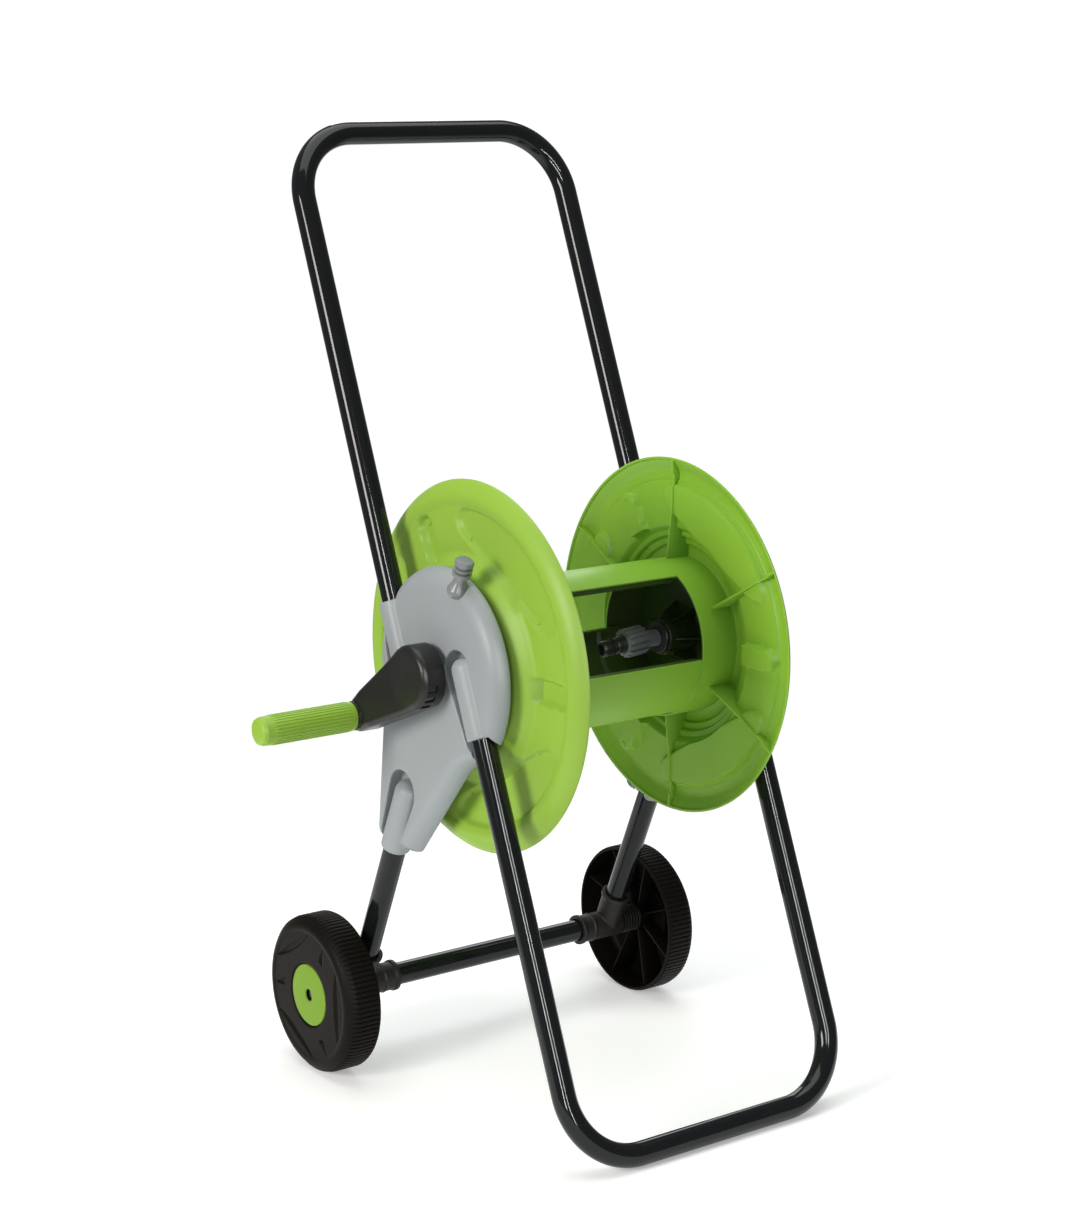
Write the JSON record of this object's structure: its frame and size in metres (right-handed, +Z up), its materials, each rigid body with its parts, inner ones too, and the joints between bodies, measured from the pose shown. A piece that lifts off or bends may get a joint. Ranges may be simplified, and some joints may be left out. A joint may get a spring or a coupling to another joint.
{
  "type": "garden hose reel cart",
  "caption": "Two-wheeled garden hose reel cart: bent-tube handle and foot, grey side plates, open green drum with a side crank.",
  "frame": {"origin": "centre of the box's bottom, on the ground", "axes": "+Z up, +X from the crank's side to the water inlet's side, +Y towards the handle and the wheels"},
  "size_m": [0.5098, 0.4796, 0.8952],
  "materials": {
    "lime_plastic": "satin lime green polypropylene",
    "grey_plastic": "satin mid grey polypropylene",
    "black_plastic": "satin black plastic",
    "wheel_plastic": "matt brown-black plastic",
    "fitting_plastic": "dark grey plastic",
    "seal_rubber": "black rubber",
    "black_coated_tube": "gloss black powder coat on steel tube",
    "bright_steel": "zinc-plated steel"
  },
  "bodies": {
    "frame": {"handle_tube": "black_coated_tube", "foot_tube": "black_coated_tube", "cross_tube": "black_coated_tube", "leg_tube_left": "black_coated_tube", "leg_tube_right": "black_coated_tube", "side_plate_left": "grey_plastic", "side_plate_right": "grey_plastic", "axle_bracket_left": "black_plastic", "axle_bracket_right": "black_plastic", "axle_rod": "bright_steel", "axle_cap_left": "bright_steel", "axle_cap_right": "bright_steel"},
    "drum": {"flange_left": "lime_plastic", "flange_right": "lime_plastic", "drum_stave_1": "lime_plastic", "drum_stave_2": "lime_plastic", "drum_stave_3": "lime_plastic", "crank_arm": "black_plastic", "hub_pipe": "fitting_plastic", "hub_pipe_nut": "fitting_plastic", "outlet_washer": "seal_rubber", "outlet_nut": "fitting_plastic", "outlet_nipple": "fitting_plastic", "outlet_seal": "seal_rubber"},
    "grip": {"crank_grip": "lime_plastic"},
    "inlet": {"inlet_elbow": "fitting_plastic", "connector_seal": "seal_rubber", "swivel_seal_inner": "seal_rubber", "swivel_seal_outer": "seal_rubber"},
    "left_wheel": {"wheel_left": "wheel_plastic", "hub_cap_left": "lime_plastic"},
    "right_wheel": {"wheel_right": "wheel_plastic", "hub_cap_right": "lime_plastic"}
  },
  "joints": [
    {"name": "drum_spin", "type": "hinge", "parent": "frame", "child": "drum", "pos_m": [0.04515, -0.0177, 0.4139], "axis": [1, 0, 0], "continuous": true},
    {"name": "grip_spin", "type": "hinge", "parent": "drum", "child": "grip", "pos_m": [-0.20485, 0.05627, 0.36586], "axis": [1, 0, 0], "continuous": true},
    {"name": "inlet_swivel", "type": "hinge", "parent": "drum", "child": "inlet", "pos_m": [0.22265, -0.0177, 0.4139], "axis": [1, 0, 0], "continuous": true},
    {"name": "wheel_left_spin", "type": "hinge", "parent": "frame", "child": "left_wheel", "pos_m": [-0.14485, 0.12916, 0.0764], "axis": [1, 0, 0], "continuous": true},
    {"name": "wheel_right_spin", "type": "hinge", "parent": "frame", "child": "right_wheel", "pos_m": [0.23515, 0.12916, 0.0764], "axis": [1, 0, 0], "continuous": true}
  ]
}
